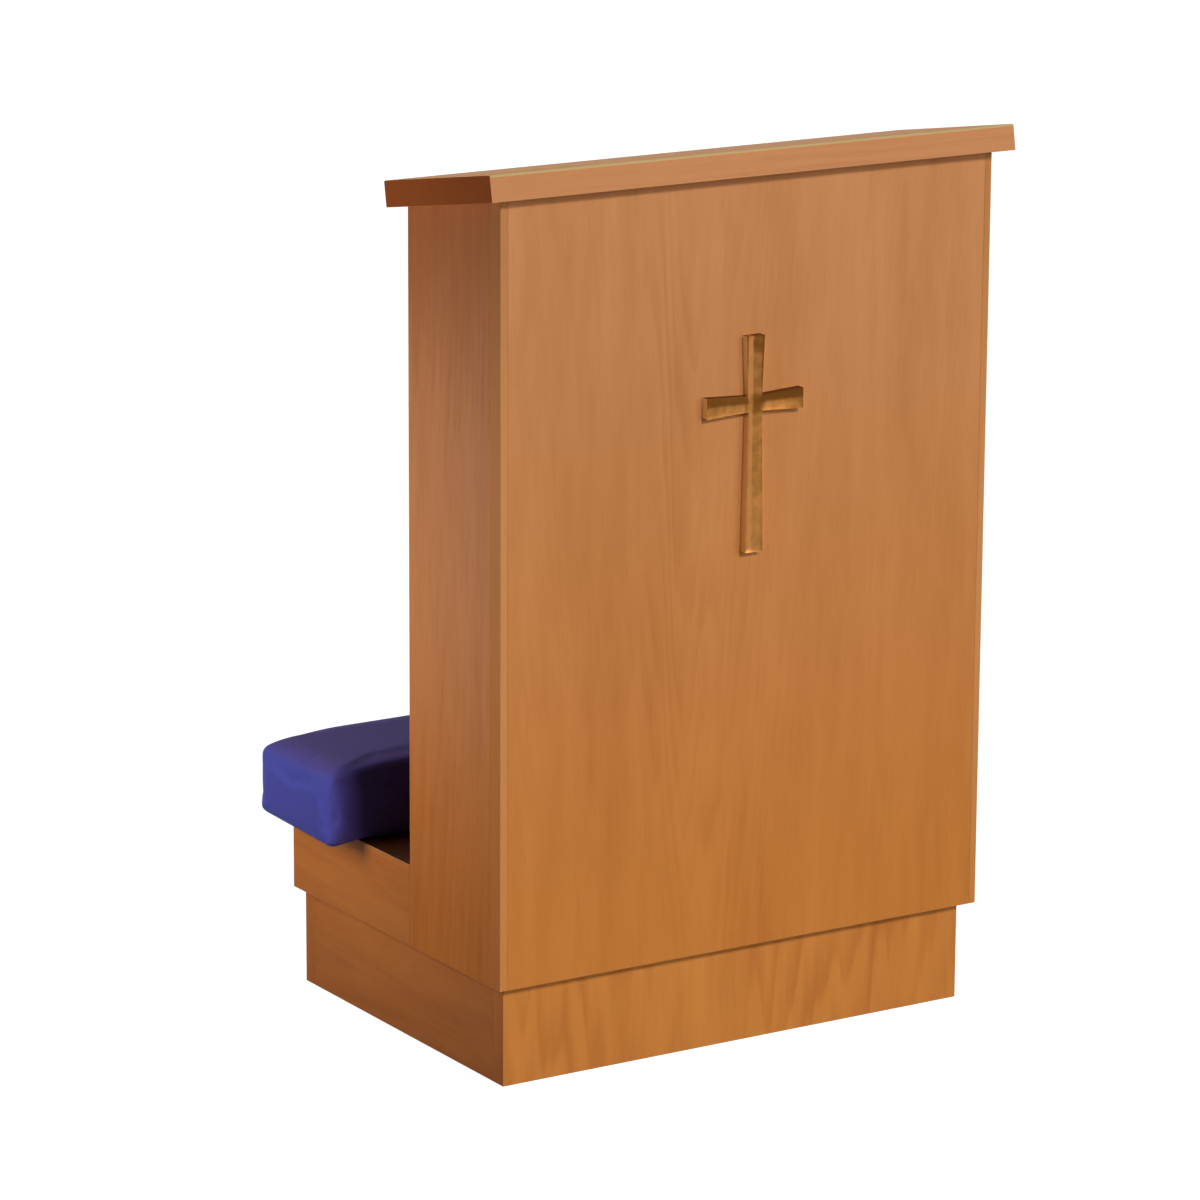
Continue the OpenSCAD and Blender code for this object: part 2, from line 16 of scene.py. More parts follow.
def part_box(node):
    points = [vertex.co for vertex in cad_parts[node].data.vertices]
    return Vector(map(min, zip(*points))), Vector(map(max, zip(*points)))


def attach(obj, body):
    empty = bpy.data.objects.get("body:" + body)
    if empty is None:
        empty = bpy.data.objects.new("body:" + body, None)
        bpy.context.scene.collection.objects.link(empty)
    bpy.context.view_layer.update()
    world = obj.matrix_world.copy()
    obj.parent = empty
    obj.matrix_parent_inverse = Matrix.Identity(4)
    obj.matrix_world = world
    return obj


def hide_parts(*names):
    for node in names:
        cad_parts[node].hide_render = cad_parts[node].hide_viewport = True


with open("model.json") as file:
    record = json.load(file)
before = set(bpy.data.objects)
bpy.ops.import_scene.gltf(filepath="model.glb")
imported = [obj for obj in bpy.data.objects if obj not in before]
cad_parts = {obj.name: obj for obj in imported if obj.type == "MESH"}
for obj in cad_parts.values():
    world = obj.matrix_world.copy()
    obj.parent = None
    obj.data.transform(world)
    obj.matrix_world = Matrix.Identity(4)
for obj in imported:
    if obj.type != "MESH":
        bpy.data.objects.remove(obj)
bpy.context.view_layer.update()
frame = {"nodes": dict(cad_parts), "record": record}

print(len(frame["nodes"]), "measured solids in the frame")

# %% [markdown]
# The camera stands about five metres away, a little above the desk's top, and looks at the desk's
# front and left side. A long lens from far away keeps the upright edges almost parallel, which is
# how furniture is usually photographed. The camera could be aimed with a constraint, but its nine
# rotation numbers are worked out here. Then its slight roll can be set as well, and it can look a
# little past the desk, which isn't quite in the middle of the picture.

# %% Camera
def from_target(azimuth, elevation):
    """Direction from the desk to a viewer. Azimuth 0 is in front of the panel with the cross."""
    a, e = radians(azimuth), radians(elevation)
    return Vector((sin(a) * cos(e), -cos(a) * cos(e), sin(e)))


def camera_turn(azimuth, elevation, roll):
    """Rotation of a camera that looks back along a direction, with a roll in degrees."""
    back = from_target(azimuth, elevation)
    side = Vector((cos(radians(azimuth)), sin(radians(azimuth)), 0))
    up = back.cross(side)
    c, s = cos(radians(roll)), sin(radians(roll))
    return Matrix((c * side + s * up, c * up - s * side, back)).transposed()


lens = bpy.data.cameras.new("long_lens")
lens.lens = 163.62
lens.sensor_width = 36
lens.clip_start, lens.clip_end = 0.1, 200
camera = bpy.data.objects.new("camera", lens)
bpy.context.scene.collection.objects.link(camera)
desk_middle, camera_distance = Vector((0, -0.0426, 0.430)), 5.262
camera_place = desk_middle + camera_distance * from_target(-32.927, 13.825)
turn = camera_turn(-32.26, 14.059, 0.306)
camera.matrix_world = Matrix.Translation(camera_place) @ turn.to_4x4()
bpy.context.scene.camera = camera
print("camera at", [round(v, 3) for v in camera_place])

# %% [markdown]
# The desk stands in plain studio light. The key light comes from just right of the front and from
# a third of the way up the sky. It is narrow enough to leave readable shadow lines under the
# overhangs, and a strong low fill from further right softens them and lights the panel evenly down
# to its foot. A weak high light from behind keeps the kneeler's end from going black. These three
# are sun lamps, because their light has the same strength over the whole piece, and the wider such
# a lamp is, the softer its shadows are. The other two are area lamps, one on each side and a little
# behind the desk, at the height of its middle. Their light falls off softly towards the top and the
# foot of a side. Colours are left as they are written, with the plain view transform.

# %% Lights
def hang_lamp(name, light, azimuth, elevation, distance, height=0.0):
    """Puts a lamp at a place round the desk, turned towards it."""
    way = from_target(azimuth, elevation)
    lamp = bpy.data.objects.new(name, light)
    lamp.rotation_mode = "QUATERNION"
    lamp.rotation_quaternion = way.to_track_quat("Z", "Y")
    lamp.location = distance * way + Vector((0, 0, height))
    bpy.context.scene.collection.objects.link(lamp)
    return lamp


def soft_sun(name, azimuth, elevation, strength, width):
    """A sun lamp that shines on the desk from a direction, with its width in degrees."""
    light = bpy.data.lights.new(name, "SUN")
    light.energy = strength
    light.angle = radians(width)
    return hang_lamp(name, light, azimuth, elevation, distance=3)


def soft_panel(name, azimuth, elevation, distance, height, watts, size):
    """A square light panel, as wide as its size in metres."""
    light = bpy.data.lights.new(name, "AREA")
    light.energy = watts
    light.size = size
    return hang_lamp(name, light, azimuth, elevation, distance, height)


lamps = [
    soft_sun("key_light", azimuth=5, elevation=33, strength=2.10, width=9),
    soft_sun("front_fill", azimuth=36, elevation=5, strength=1.84, width=40),
    soft_panel("left_light", azimuth=-108, elevation=1, distance=0.88, height=0.436, watts=3.58,
               size=0.35),
    soft_panel("right_light", azimuth=102, elevation=1, distance=1.60, height=0.45, watts=5.0,
               size=0.5),
    soft_sun("back_light", azimuth=150, elevation=52, strength=0.72, width=50),
]
bpy.context.scene.view_settings.view_transform = "Standard"
print(len(lamps), "lamps")

# %% [markdown]
# A material in this file is a small formula over the surface. Blender writes formulas as nodes, and
# wiring them one at a time is hard to read. So one class stands for the output of a node, and
# Python's own signs add the Math nodes: a line such as 1 - ring * 0.2 makes two nodes and links
# them. Any other kind of node comes from one method, which sets the node's options first and then
# its sockets, each to a plain value or to a link.

# %% Formulas as nodes
class Signal:
    """The output of a node, on which Python's signs add Math nodes."""

    def __init__(self, tree, out=None):
        self.tree, self.out = tree, out

    def node(self, kind, sockets=None, output=0, **options):
        """Adds a node with its options and sockets set, and returns one of its outputs."""
        made = self.tree.nodes.new("ShaderNode" + kind)
        for option, value in options.items():
            setattr(made, option, value)
        for socket, value in (sockets or {}).items():
            if isinstance(value, Signal):
                self.tree.links.new(value.out, made.inputs[socket])
            else:
                made.inputs[socket].default_value = value
        return Signal(self.tree, made.outputs[output])

    def math(self, operation, *values):
        """Adds a Math node."""
        return self.node("Math", dict(enumerate(values)), operation=operation)

    def __add__(self, other):
        return self.math("ADD", self, other)

    __radd__ = __add__

    def __mul__(self, other):
        return self.math("MULTIPLY", self, other)

    __rmul__ = __mul__

    def __sub__(self, other):
        return self.math("SUBTRACT", self, other)

    def __rsub__(self, other):
        return self.math("SUBTRACT", other, self)

    def __truediv__(self, other):
        return self.math("DIVIDE", self, other)

    def __pow__(self, other):
        return self.math("POWER", self, other)

    def __abs__(self):
        return self.math("ABSOLUTE", self)


def parts_of(start, vector):
    """The three numbers of a vector."""
    split = start.node("SeparateXYZ", {"Vector": vector}).out.node
    return [Signal(start.tree, part) for part in split.outputs]


def vector_of(start, x, y, z):
    """A vector from three numbers."""
    return start.node("CombineXYZ", {"X": x, "Y": y, "Z": z})


def noise(start, vector, scale, detail=2.0, roughness=0.5):
    """Soft noise, 0 to 1 and about 0.5 in the middle, whose blobs are 1 / scale across."""
    return start.node("TexNoise", {"Vector": vector, "Scale": scale, "Detail": detail,
                                   "Roughness": roughness})


def fade(start, value, low, high, to_low=0.0, to_high=1.0):
    """A smooth step of a value from to_low to to_high."""
    return start.node("MapRange", {0: value, 1: low, 2: high, 3: to_low, 4: to_high},
                      interpolation_type="SMOOTHSTEP")


def blend_colours(start, factor, first, second, way="MIX"):
    """The first colour, mixed with the second by the factor."""
    first, second = [c if isinstance(c, Signal) else (*c, 1.0) for c in (first, second)]
    # On a Mix node, sockets 6 and 7 and output 2 are the ones for colours.
    return start.node("Mix", {0: factor, 6: first, 7: second}, output=2,
                      data_type="RGBA", blend_type=way, clamp_factor=True)


print("formula helpers are ready")

# %% [markdown]
# Each finish in the desk is a material with one glossy shader. What is the same all over, such as
# the strength of the sheen, is set on the shader itself. What changes from place to place is linked
# to it: the colour, the roughness and the bumps. A formula can start from three things: where a
# point lies, which way the surface faces there, and how much that face takes the arris colour,
# which stands for wear and is also a painted highlight.

# %% Start and end of a material
def new_finish(name, **constants):
    """A material with one Principled shader. Returns the material, its shader and a Signal."""
    material = bpy.data.materials.new(name)
    material.use_nodes = True
    shader = material.node_tree.nodes["Principled BSDF"]
    for socket, value in constants.items():
        shader.inputs[socket.replace("_", " ")].default_value = value
    return material, shader, Signal(material.node_tree)


def object_point(start):
    """Where a point lies, in metres, in the piece's own coordinates."""
    return start.node("TexCoord", output="Object")


def facing_of(start):
    """The X, Y and Z of the direction that the surface faces."""
    return parts_of(start, start.node("NewGeometry", output="Normal"))


def arris_wear_and_highlight(start):
    """How much a face takes the arris colour, wear and painted highlight both, as the bevels mark
    it.
    """
    return start.node("Attribute", output="Fac", attribute_name="arris")


def link_finish(shader, start, colour, roughness, bump, distance, strength):
    """Links what changes over the surface to the shader. The distance is the bumps' height."""
    raised = start.node("Bump", {"Height": bump, "Distance": distance, "Strength": strength})
    for socket, signal in (("Base Color", colour), ("Roughness", roughness), ("Normal", raised)):
        start.tree.links.new(signal.out, shader.inputs[socket])


print("material helpers are ready")

# %% [markdown]
# Wood is grown, and its figure is a cut through the growth rings of a log. It could be painted on
# each face as stripes, but then the stripes wouldn't meet at the edges. Here every board is cut out
# of a formula for a whole log: the distance from the log's heart gives the ring, slow noise makes
# the rings wander, and the log tapers. A face cut along such a log shows pointed arches, and an end
# shows arcs, as on real boards. On the front panel the rings show most in one band, to the left of
# the cross. Fine pores, fibres, short patches and slow clouds of tone are added to the rings. Tints
# come last. An end that cuts the fibres across drinks more of the stain. The other tints are
# painted
# shade and painted light: painted shade by height, warmer and darker towards the foot and, on the
# sides, darker at the top under the desk board; painted shade on the narrow faces that look
# sideways; painted light on the desk board's top and painted shade on the kneeler's tops. The
# bevelled arrises take a paler edge colour, which stands for wear and is also a painted highlight.
# A faint sheen stands for the satin varnish.

# %% Wood
def wood(name, grain, heart, light, dark, ring=0.005, rise=0.0, contrast=0.5, wander=0.006,
         pores=0.5, fibres=0.5, clouds=0.5, edge=(0.75, 0.50, 0.28), edge_share=0.35,
         roughness=0.42, painted_shade_by_height=(), end_tint=(0.70, 0.60, 0.52), loose=3.0, gloss=0.07,
         painted_flank_shade=None, painted_top_light_and_shade=None, flame=None):
    """A board of a log along the grain, X, Y or Z, whose heart passes at the two other places.

    A growth ring is as wide as ring, rise is the taper, and wander and loose let the rings stray.
    The rings are strongest in a band round the heart, whose half width is flame. The darkness of
    each part of the figure is contrast for the rings, then pores, fibres and clouds. Each entry of
    painted_shade_by_height is two heights and the painted shade at them. The flank and top tints
    are painted shade and painted light on the faces that look sideways and up. Bevelled edges take
    the edge colour by edge_share, as wear and a painted highlight.
    """
    finish, shader, s = new_finish(name, IOR=1.45, Specular_IOR_Level=gloss)
    x, y, z = parts_of(s, object_point(s))
    across, deep, along = {"Z": (x, y, z), "Y": (x, z, y), "X": (y, z, x)}[grain]

    def grained(fine, coarse, side=across, depth=deep):
        """The point for a noise with so many blobs per metre across the grain and along it."""
        return vector_of(s, side * fine, depth * fine, along * coarse)

    sway = s.node("TexNoise", {"Vector": grained(5.0, 1.1), "Scale": 1.0, "Detail": 2.0},
                  output="Color")
    sway_a, sway_b, sway_c = parts_of(s, sway)
    u = across - heart[0] + (sway_a - 0.5) * (wander * 4)
    v = deep - heart[1] + (sway_b - 0.5) * (wander * 4)
    radius = (u * u + v * v) ** 0.5
    uneven = noise(s, grained(30.0, 0.8, u, v), 1.0)
    growth = (radius - along * rise) / ring + (sway_c - 0.5) * 3.0 + (uneven - 0.5) * loose
    step = s.math("FRACT", growth)
    late = fade(s, step, 0.15, 0.80) * fade(s, step, 0.80, 1.0, 1.0, 0.0)
    late = late * fade(s, noise(s, grained(14.0, 3.5), 1.0), 0.35, 0.65, 0.2, 1.0)
    if flame is not None:
        late = late * fade(s, abs(u), flame, flame * 3, 1.0, 0.2)

    fibre = noise(s, grained(420.0, 9.0), 1.0, 3.0, 0.6)
    pore = fade(s, noise(s, grained(900.0, 42.0), 1.0, 1.0), 0.60, 0.70)
    cloud = noise(s, grained(9.0, 2.2), 1.0, 3.0, 0.55)
    band = noise(s, grained(38.0, 3.0), 1.0)
    patch = noise(s, grained(70.0, 13.0), 1.0)
    tone = late * contrast + (fibre - 0.5) * (fibres * 0.9) + pore * (pores * 0.45) + 0.22
    tone = tone + ((cloud - 0.5) * 1.3 + (band - 0.5) * 0.9 + (patch - 0.5) * 0.8) * clouds

    colour = blend_colours(s, tone, light, dark)
    # Painted shade by height: warmer and darker towards the foot, and darker at the top under the
    # desk board.
    for low_z, high_z, low_tint, high_tint in painted_shade_by_height:
        shade = blend_colours(s, fade(s, z, low_z, high_z), low_tint, high_tint)
        colour = blend_colours(s, 1.0, colour, shade, "MULTIPLY")
    colour = blend_colours(s, arris_wear_and_highlight(s) * edge_share, colour, edge)
    facing = facing_of(s)

    def tint_facing(colour, towards, tint):
        """Tints the flat faces that look one way, and not the rounded edges beside them."""
        return blend_colours(s, fade(s, towards, 0.7, 0.95), colour, tint, "MULTIPLY")

    colour = tint_facing(colour, abs(facing["XYZ".index(grain)]), end_tint)
    # Painted shade on the faces that look sideways.
    if painted_flank_shade is not None:
        colour = tint_facing(colour, abs(facing[0]), painted_flank_shade)
    # Painted tone on the faces that look up: painted light on the desk board, painted shade on the
    # kneeler's sides.
    if painted_top_light_and_shade is not None:
        colour = tint_facing(colour, facing[2], painted_top_light_and_shade)
    rough = roughness + (fibre - 0.5) * 0.14 + pore * 0.12 + (cloud - 0.5) * 0.10
    link_finish(shader, s, colour, rough, fibre * 0.35 - pore * 0.8, 0.00006, 0.6)
    return finish


# Front panel: painted shade, warmer and darker towards the foot, and painted shade on its flanks.
front_veneer = wood("front_veneer", "Z", (-0.060, -0.140), (0.560, 0.245, 0.095),
                    (0.400, 0.150, 0.042), ring=0.0085, rise=0.085, contrast=0.26, wander=0.005,
                    pores=0.28, fibres=0.05, clouds=0.60, loose=5.0, edge=(0.66, 0.36, 0.17),
                    flame=0.032, painted_flank_shade=(0.90, 0.64, 0.28),
                    painted_shade_by_height=[(0.10, 0.84, (0.94, 0.78, 0.42), (1, 1, 1))])
# Side boards: painted shade, warmer towards the foot and darker at the top under the desk board.
side_veneer = wood("side_veneer", "Z", (0.0, 0.04), (0.600, 0.228, 0.068),
                   (0.380, 0.118, 0.026), ring=0.0065, rise=0.03, contrast=0.20, wander=0.005,
                   pores=0.34, fibres=0.28, clouds=0.58,
                   painted_shade_by_height=[(0.11, 0.48, (0.91, 0.69, 0.17), (1, 1, 1.1)),
                         (0.60, 0.82, (1, 1, 1), (0.81, 0.64, 0.42))])
# Kneeler sides: their tops are painted near black, painted shade.
kneeler_veneer = wood("kneeler_veneer", "Y", (0.0, 0.05), (0.490, 0.148, 0.019),
                      (0.310, 0.077, 0.007), ring=0.006, rise=0.02, contrast=0.18, wander=0.004,
                      pores=0.34, fibres=0.30, clouds=0.5, edge=(0.42, 0.24, 0.14),
                      edge_share=0.6, painted_top_light_and_shade=(0.09, 0.09, 0.11))
shelf_veneer = wood("shelf_veneer", "X", (0.10, 0.45), (0.510, 0.185, 0.042),
                    (0.320, 0.095, 0.014), ring=0.006, rise=0.02, contrast=0.22, wander=0.004,
                    pores=0.36, fibres=0.42, clouds=0.5)
# Plinth: painted shade on the faces that look sideways.
plinth_veneer = wood("plinth_veneer", "Z", (-0.115, -0.160), (0.560, 0.215, 0.046),
                     (0.340, 0.095, 0.016), ring=0.055, rise=0.42, contrast=0.29, wander=0.012,
                     pores=0.18, fibres=0.20, clouds=0.50, edge_share=0.1,
                     painted_flank_shade=(0.88, 0.70, 0.44))
# Desk board: its tops are painted lighter and yellower, painted light from above.
desk_board = wood("desk_board", "X", (-0.12, 0.80), (0.580, 0.258, 0.108),
                  (0.420, 0.160, 0.056), ring=0.0045, rise=0.01, contrast=0.20, wander=0.004,
                  pores=0.30, fibres=0.36, clouds=0.35, edge=(0.50, 0.38, 0.18), edge_share=0.8,
                  end_tint=(0.70, 0.40, 0.22), gloss=0.012, painted_top_light_and_shade=(1.18, 1.20, 0.84))
# Edge strips: painted shade by height as on the sides, and painted shade on their flanks.
edge_strip = wood("edge_strip", "Z", (0.24, -0.10), (0.570, 0.250, 0.085),
                  (0.425, 0.165, 0.048), ring=0.004, rise=0.01, contrast=0.18, wander=0.003,
                  pores=0.20, fibres=0.30, clouds=0.25, edge=(0.62, 0.32, 0.14),
                  painted_shade_by_height=[(0.10, 0.42, (0.97, 0.86, 0.66), (1, 1, 1)),
                        (0.60, 0.82, (1, 1, 1), (0.86, 0.84, 0.78))],
                  painted_flank_shade=(1.00, 0.78, 0.41))
# Painted shade: the deck is near black for the deep gap between the upright and the cushion.
deck_painted_shade = wood("deck_painted_shade", "X", (0.0, 0.05), (0.058, 0.020, 0.009),
                  (0.034, 0.011, 0.005), ring=0.006, contrast=0.2, roughness=0.75, gloss=0.0,
                  edge=(0.045, 0.016, 0.008))
print("veneers and solid woods are ready")

# %% [markdown]
# The battens, blocks, runners and dowels inside the desk are plain unstained wood, seen only from
# behind or from below. They keep their measured shape, so they only need a paler wood, one for
# each direction in which such a strip can run.

# %% Plain inside wood
inside_wood = {
    grain: wood("inside_wood_" + grain.lower(), grain, heart, (0.660, 0.470, 0.250),
                (0.460, 0.290, 0.130), ring=0.0035, rise=0.01, contrast=0.45, wander=0.004,
                pores=0.1, clouds=0.4, roughness=0.62)
    for grain, heart in (("X", (-0.10, 0.10)), ("Y", (0.20, 0.10)), ("Z", (0.20, -0.30)))
}
dowel_wood = wood("dowel_wood", "Y", (0.30, 0.20), (0.700, 0.540, 0.330), (0.560, 0.400, 0.220),
                  ring=0.003, contrast=0.3, roughness=0.6)
print(len(inside_wood) + 1, "plain woods")

# %% [markdown]
# The cross is brass that has gone brown. Old brass is smooth where hands and cloths reach it and
# dark where dirt stays, so the tarnish follows slow noise. The rest of the darkness is painted
# reflection: it is painted on the side arms, most of all on their upper halves, on the right half
# of the stem, round the crossing and at the top end, and it is weaker at the foot. The narrow
# flanks are painted pale, a painted reflection too. The darkness is less of a mirror than metal
# is, so it raises the roughness as well.

# %% Brass
crossing_drop = 0.0645  # from the cross's top down to the middle of its side arms


def brass():
    """The brown brass of the cross, with painted reflections by places on the measured cross."""
    finish, shader, s = new_finish("cross_brass", Metallic=1.0, IOR=1.5)
    low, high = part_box("cross")
    middle = high.z - crossing_drop
    point = object_point(s)
    x, _, z = parts_of(s, point)
    cloud = noise(s, point, 55.0, 3.0, 0.6)
    fine = noise(s, point, 700.0, 2.0, 0.6)
    # Painted reflection: these masks darken the side arms, their upper halves, the right half of
    # the stem, the crossing and the top end, and lighten the foot.
    side_arm = fade(s, abs(x), 0.006, 0.010)
    upper = fade(s, z, middle - 0.0010, middle + 0.0030) * side_arm
    stem = fade(s, x, -0.0035, -0.0010) * (1 - side_arm)
    lightened = fade(s, x, 0.003, 0.006) * fade(s, z, middle - 0.02, middle - 0.01, 1.0, 0.0)
    crossing = fade(s, (x * x + (z - middle) * (z - middle)) ** 0.5, 0.006, 0.014, 1.0, 0.0)
    top_end = fade(s, z, high.z - 0.03, high.z)
    foot = fade(s, z, low.z + 0.01, low.z + 0.09, 1.0, 0.0)
    tarnish_and_reflection = (upper * 0.46 + side_arm * 0.44 + stem * (0.38 - lightened * 0.06) + crossing * 0.35
               + stem * top_end * 0.35 + (cloud - 0.5) * 1.2 + 0.14 - foot * 0.15)
    brown = blend_colours(s, fade(s, tarnish_and_reflection, 0.0, 1.0), (0.325, 0.140, 0.038),
                          (0.105, 0.038, 0.006))
    # Painted reflection: the flanks are painted pale.
    flank = fade(s, abs(facing_of(s)[0]), 0.6, 0.8)
    brown = blend_colours(s, flank, brown, (0.76, 0.60, 0.34))
    brown = blend_colours(s, arris_wear_and_highlight(s) * 0.25, brown, (0.40, 0.22, 0.08))
    rough = fade(s, tarnish_and_reflection, 0.0, 1.0, 0.34, 0.52) + (fine - 0.5) * 0.1
    link_finish(shader, s, brown, rough, cloud * 0.4 + fine * 0.2, 0.0002, 0.5)
    return finish


def steel():
    """The dull steel of the screws."""
    finish, shader, s = new_finish("screw_steel", Metallic=1.0)
    grime = noise(s, object_point(s), 240.0, 3.0, 0.6)
    grey = blend_colours(s, grime, (0.62, 0.62, 0.60), (0.40, 0.39, 0.37))
    link_finish(shader, s, grey, 0.30 + grime * 0.2, grime, 0.00005, 0.4)
    return finish


cross_brass = brass()
screw_steel = steel()
print("metals are ready")

# %% [markdown]
# The cushion is covered in a plain woven cloth, dark blue. Its top and the side towards the upright
# are painted a darker violet, painted shade. A weave could be drawn with a picture, but two sets of
# fine waves at right angles do as well, and they can be felt as bumps too. The direction of the
# threads follows the faces: on the sides one set runs upright, on the top one set runs across.
# Where the cloth turns a corner a paler blue is painted, a painted highlight, and a weak sheen
# lightens its edges, as loose fibres do. Underneath, inside the turned hem, a black lining shows.

# %% Cushion cloth
def cushion_cloth():
    """The woven cover of the cushion, with painted shade and a painted highlight, and the lining
    inside its hem.
    """
    finish, shader, s = new_finish("cushion_cloth", Sheen_Weight=0.12, Sheen_Roughness=0.5,
                                   Sheen_Tint=(0.45, 0.45, 1.0, 1.0), IOR=1.4,
                                   Specular_IOR_Level=0.15)
    low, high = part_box("pad_cover")
    point = object_point(s)
    x, y, z = parts_of(s, point)
    n_x, n_y, n_z = facing_of(s)
    thread_pair = 0.0011
    wave = 2 * pi / thread_pair
    warp = s.math("SINE", x * wave) * s.math("SINE", y * wave)
    weft = s.math("SINE", (x + y) * wave) * s.math("SINE", z * wave)
    flat = fade(s, abs(n_z), 0.55, 0.8)
    weave = warp * flat + weft * (1 - flat)
    cloud = noise(s, point, 14.0, 3.0, 0.6)
    fuzz = noise(s, point, 900.0, 2.0, 0.6)
    slub = noise(s, vector_of(s, x * 60.0, y * 60.0, z * 600.0), 1.0)

    blue = blend_colours(s, cloud, (0.069, 0.074, 0.375), (0.054, 0.055, 0.300))
    violet = blend_colours(s, cloud, (0.088, 0.052, 0.194), (0.067, 0.038, 0.144))
    # Painted shade: the top is painted a darker violet.
    painted_top_shade = fade(s, z, high.z - 0.022, high.z - 0.004)
    colour = blend_colours(s, painted_top_shade, blue, violet)
    # Painted shade: the side towards the upright is painted a violet cast.
    near_side = fade(s, n_y, -0.9, -0.4, 0.9, 0.0)
    colour = blend_colours(s, near_side, colour, (0.086, 0.062, 0.262))
    # Painted highlight: a paler blue where the cloth turns a vertical corner.
    painted_corner_highlight = abs(n_x * n_y) * 2.0
    colour = blend_colours(s, painted_corner_highlight * 0.4, colour, (0.120, 0.125, 0.640))
    threads = (fuzz - 0.5) * 0.5 + weave * 0.18 + (slub - 0.5) * 0.3 + 0.25
    colour = blend_colours(s, threads, colour, (0.03, 0.028, 0.11))

    hem, hem_rise = 0.028, 0.003
    half_w, half_d = (high.x - low.x) / 2 - hem, (high.y - low.y) / 2 - hem
    middle = (high.y + low.y) / 2
    inside = (s.math("LESS_THAN", abs(x), half_w)
              * s.math("LESS_THAN", abs(y - middle), half_d)
              * s.math("LESS_THAN", z, low.z + hem_rise))
    colour = blend_colours(s, inside, colour, (0.012, 0.012, 0.014))
    link_finish(shader, s, colour, 0.86 + (fuzz - 0.5) * 0.1, weave * 0.5 + fuzz * 0.4, 0.00025,
                0.7)
    return finish


def plain_soft(name, first, second, scale):
    """A soft material with two shades in fine grains."""
    finish, shader, s = new_finish(name, IOR=1.4)
    grain = noise(s, object_point(s), scale, 3.0, 0.7)
    link_finish(shader, s, blend_colours(s, grain, first, second), 0.9 + grain * 0.05, grain,
                0.0004, 0.5)
    return finish


blue_cloth = cushion_cloth()
foam = plain_soft("cushion_foam", (0.86, 0.78, 0.54), (0.74, 0.65, 0.40), 500.0)
lining = plain_soft("cushion_lining", (0.030, 0.030, 0.032), (0.012, 0.012, 0.013), 800.0)
print("cloth, foam and lining are ready")

# %% [markdown]
# Boards are made in three steps. A cube is stretched to the box of the measured board, a slanting
# cut takes off what the sloped desk board would run into, and the edges are eased with a small
# bevel, as sandpaper does. The faces that the bevel makes are marked, so that the material can
# give them a paler arris colour, a little rubbed and also a painted highlight. Modelling in this
# way keeps each board in its measured place.

# %% Boards
desk_slope, case_top = 9.7, 0.844
case_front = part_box("front_panel")[0].y
desk_line = Vector((0, case_front, case_top))
desk_normal = Vector((0, sin(radians(desk_slope)), cos(radians(desk_slope))))
near_desk = 0.8  # a board that ends above this height reaches the desk board
hair = 1e-4  # two places that are closer than this count as one


def block(bm, low, high):
    """Adds a box between two corners."""
    made = bmesh.ops.create_cube(bm, size=1.0)["verts"]
    bmesh.ops.scale(bm, vec=high - low, verts=made)
    bmesh.ops.translate(bm, vec=(low + high) / 2, verts=made)


def ease(bm, radius, chosen, segments=2, arris_weight=1.0):
    """Rounds the chosen edges and marks how much the new faces take the arris colour."""
    lightened = bm.faces.layers.float.get("arris") or bm.faces.layers.float.new("arris")
    edges = [e for e in bm.edges if len(e.link_faces) == 2 and chosen(e)]
    made = bmesh.ops.bevel(bm, geom=edges, offset=radius, offset_type="OFFSET",
                           segments=segments, profile=0.5, affect="EDGES", material=-1,
                           clamp_overlap=True)
    for face in made["faces"]:
        face[lightened] = arris_weight


def runs(edge, axis):
    """True if an edge runs along X, Y or Z, numbered 0, 1 and 2."""
    way = (edge.verts[1].co - edge.verts[0].co).normalized()
    return abs(way[axis]) > 0.98


def middle_of(edge):
    """The point halfway along an edge."""
    return (edge.verts[0].co + edge.verts[1].co) / 2


def is_square(edge):
    """True if no bevel has rounded the edge yet."""
    return edge.calc_face_angle(0) > radians(69)


def bounds_upright_face(edge):
    """True if a face beside the edge stands upright."""
    return any(abs(f.normal.z) < 0.2 for f in edge.link_faces)


def keep_piece(name, bm, slot, material, *nodes):
    """Turns the mesh into a piece that rides on the frame in place of measured solids."""
    bmesh.ops.recalc_face_normals(bm, faces=bm.faces)
    mesh = bpy.data.meshes.new(name)
    bm.to_mesh(mesh)
    bm.free()
    mesh.materials.append(material)
    piece = bpy.data.objects.new(name, mesh)
    bpy.context.scene.collection.objects.link(piece)
    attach(piece, "root")
    if nodes:
        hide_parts(*nodes)
    return piece


def flat_light(piece):
    """Smooth shading on the rounded edges only, with the flat faces kept flat."""
    for face in piece.data.polygons:
        face.use_smooth = True
    piece.data.set_sharp_from_angle(angle=radians(50))
    even = piece.modifiers.new("even_light", "WEIGHTED_NORMAL")
    even.keep_sharp = True
    even.weight = 80


def board(node, material, slot="board_veneer", outer=0.0010, is_outer=None, seam=0.0003):
    """One board in place of its measured solid, cut under the desk board where it reaches it."""
    low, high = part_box(node)
    cut_slanting = high.z > near_desk
    overlength = Vector((0, 0, 0.03 if cut_slanting else 0))
    bm = bmesh.new()
    block(bm, low, high + overlength)
    if cut_slanting:
        cut = bmesh.ops.bisect_plane(bm, geom=bm.verts[:] + bm.edges[:] + bm.faces[:],
                                     plane_co=desk_line, plane_no=desk_normal,
                                     clear_outer=True)
        rim = [e for e in cut["geom_cut"] if isinstance(e, bmesh.types.BMEdge)]
        bmesh.ops.contextual_create(bm, geom=rim)
    if is_outer:
        ease(bm, outer, is_outer, 3)
    ease(bm, seam, is_square, 1)
    flat_light(keep_piece(node + "_board", bm, slot, material, node))


print("board helpers are ready")

